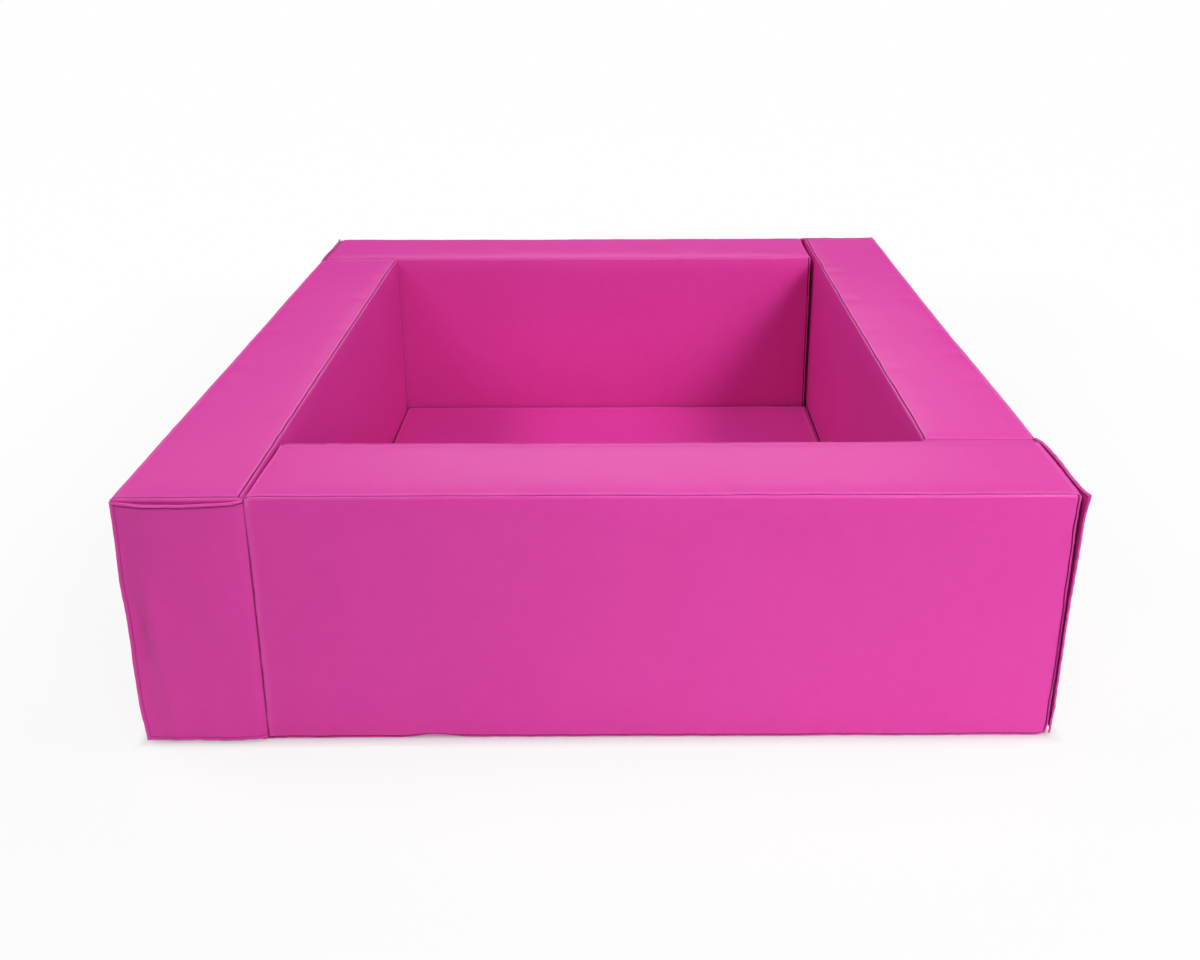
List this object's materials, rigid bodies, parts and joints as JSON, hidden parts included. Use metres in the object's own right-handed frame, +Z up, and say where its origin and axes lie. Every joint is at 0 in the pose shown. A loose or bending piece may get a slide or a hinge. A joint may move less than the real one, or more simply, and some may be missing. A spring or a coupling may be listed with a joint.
{
  "type": "soft-play ball pit",
  "caption": "Square soft-play ball pit: padded vinyl wall blocks in a pinwheel, joined by hook-and-loop flaps, round a thin mat.",
  "frame": {"origin": "on the floor at the middle of the pit's footprint", "axes": "+Z up, -Y towards the front wall, +X towards the right wall"},
  "size_m": [1.546, 1.5315, 0.4499],
  "materials": {
    "vinyl": "satin, fine-grained coated fabric",
    "foam": "open-cell foam",
    "hook_tape": "woven tape with hooks",
    "loop_tape": "brushed loop pile",
    "zip_tape": "woven tape with a nylon coil",
    "slider_metal": "nickel-plated"
  },
  "bodies": {
    "front_wall": {"front_wall_cover": "vinyl", "front_wall_foam_core": "foam", "front_wall_loop_strip": "loop_tape", "front_wall_zip_tape": "zip_tape"},
    "right_wall": {"right_wall_cover": "vinyl", "right_wall_foam_core": "foam", "right_wall_loop_strip": "loop_tape", "right_wall_zip_tape": "zip_tape"},
    "back_wall": {"back_wall_cover": "vinyl", "back_wall_foam_core": "foam", "back_wall_loop_strip": "loop_tape", "back_wall_zip_tape": "zip_tape"},
    "left_wall": {"left_wall_cover": "vinyl", "left_wall_foam_core": "foam", "left_wall_loop_strip": "loop_tape", "left_wall_zip_tape": "zip_tape"},
    "mat": {"mat_cover": "vinyl", "mat_foam_core": "foam", "mat_zip_tape": "zip_tape"},
    "front_flap": {"front_wall_flap": "vinyl", "front_wall_hook_strip": "hook_tape"},
    "right_flap": {"right_wall_flap": "vinyl", "right_wall_hook_strip": "hook_tape"},
    "back_flap": {"back_wall_flap": "vinyl", "back_wall_hook_strip": "hook_tape"},
    "left_flap": {"left_wall_flap": "vinyl", "left_wall_hook_strip": "hook_tape"},
    "front_zip_slider": {"front_wall_zip_slider": "slider_metal"},
    "front_zip_pull": {"front_wall_zip_pull": "slider_metal"},
    "right_zip_slider": {"right_wall_zip_slider": "slider_metal"},
    "right_zip_pull": {"right_wall_zip_pull": "slider_metal"},
    "back_zip_slider": {"back_wall_zip_slider": "slider_metal"},
    "back_zip_pull": {"back_wall_zip_pull": "slider_metal"},
    "left_zip_slider": {"left_wall_zip_slider": "slider_metal"},
    "left_zip_pull": {"left_wall_zip_pull": "slider_metal"},
    "mat_zip_slider": {"mat_zip_slider": "slider_metal"},
    "mat_zip_pull": {"mat_zip_pull": "slider_metal"}
  },
  "joints": [
    {"name": "right_wall_apart", "type": "slide", "parent": "front_wall", "child": "right_wall", "axis": [1, 0, 0], "range_m": [0, 0.4]},
    {"name": "back_wall_apart", "type": "slide", "parent": "front_wall", "child": "back_wall", "axis": [0, 1, 0], "range_m": [0, 0.4]},
    {"name": "left_wall_apart", "type": "slide", "parent": "front_wall", "child": "left_wall", "axis": [-1, 0, 0], "range_m": [0, 0.4]},
    {"name": "mat_lift", "type": "slide", "parent": "front_wall", "child": "mat", "axis": [0, 0, 1], "range_m": [0, 0.5]},
    {"name": "front_flap_hinge", "type": "hinge", "parent": "front_wall", "child": "front_flap", "pos_m": [-0.542, -0.7486, 0.223], "axis": [0, 0, 1], "range_deg": [0, 120]},
    {"name": "right_flap_hinge", "type": "hinge", "parent": "right_wall", "child": "right_flap", "pos_m": [0.7486, -0.542, 0.223], "axis": [0, 0, 1], "range_deg": [0, 120]},
    {"name": "back_flap_hinge", "type": "hinge", "parent": "back_wall", "child": "back_flap", "pos_m": [0.542, 0.7486, 0.223], "axis": [0, 0, 1], "range_deg": [0, 120]},
    {"name": "left_flap_hinge", "type": "hinge", "parent": "left_wall", "child": "left_flap", "pos_m": [-0.7486, 0.542, 0.223], "axis": [0, 0, 1], "range_deg": [0, 120]},
    {"name": "front_zip_slide", "type": "slide", "parent": "front_wall", "child": "front_zip_slider", "axis": [-1, 0, 0], "range_m": [0, 1.05]},
    {"name": "front_zip_pull_hinge", "type": "hinge", "parent": "front_zip_slider", "child": "front_zip_pull", "pos_m": [0.6325, -0.65, 0.0039], "axis": [0, -1, 0], "range_deg": [0, 150]},
    {"name": "right_zip_slide", "type": "slide", "parent": "right_wall", "child": "right_zip_slider", "axis": [0, -1, 0], "range_m": [0, 1.05]},
    {"name": "right_zip_pull_hinge", "type": "hinge", "parent": "right_zip_slider", "child": "right_zip_pull", "pos_m": [0.65, 0.6325, 0.0039], "axis": [1, 0, 0], "range_deg": [0, 150]},
    {"name": "back_zip_slide", "type": "slide", "parent": "back_wall", "child": "back_zip_slider", "axis": [1, 0, 0], "range_m": [0, 1.05]},
    {"name": "back_zip_pull_hinge", "type": "hinge", "parent": "back_zip_slider", "child": "back_zip_pull", "pos_m": [-0.6325, 0.65, 0.0039], "axis": [0, 1, 0], "range_deg": [0, 150]},
    {"name": "left_zip_slide", "type": "slide", "parent": "left_wall", "child": "left_zip_slider", "axis": [0, 1, 0], "range_m": [0, 1.05]},
    {"name": "left_zip_pull_hinge", "type": "hinge", "parent": "left_zip_slider", "child": "left_zip_pull", "pos_m": [-0.65, -0.6325, 0.0039], "axis": [-1, 0, 0], "range_deg": [0, 150]},
    {"name": "mat_zip_slide", "type": "slide", "parent": "mat", "child": "mat_zip_slider", "axis": [-1, 0, 0], "range_m": [0, 0.84]},
    {"name": "mat_zip_pull_hinge", "type": "hinge", "parent": "mat_zip_slider", "child": "mat_zip_pull", "pos_m": [0.429, -0.423, 0.0039], "axis": [0, -1, 0], "range_deg": [0, 150]}
  ]
}
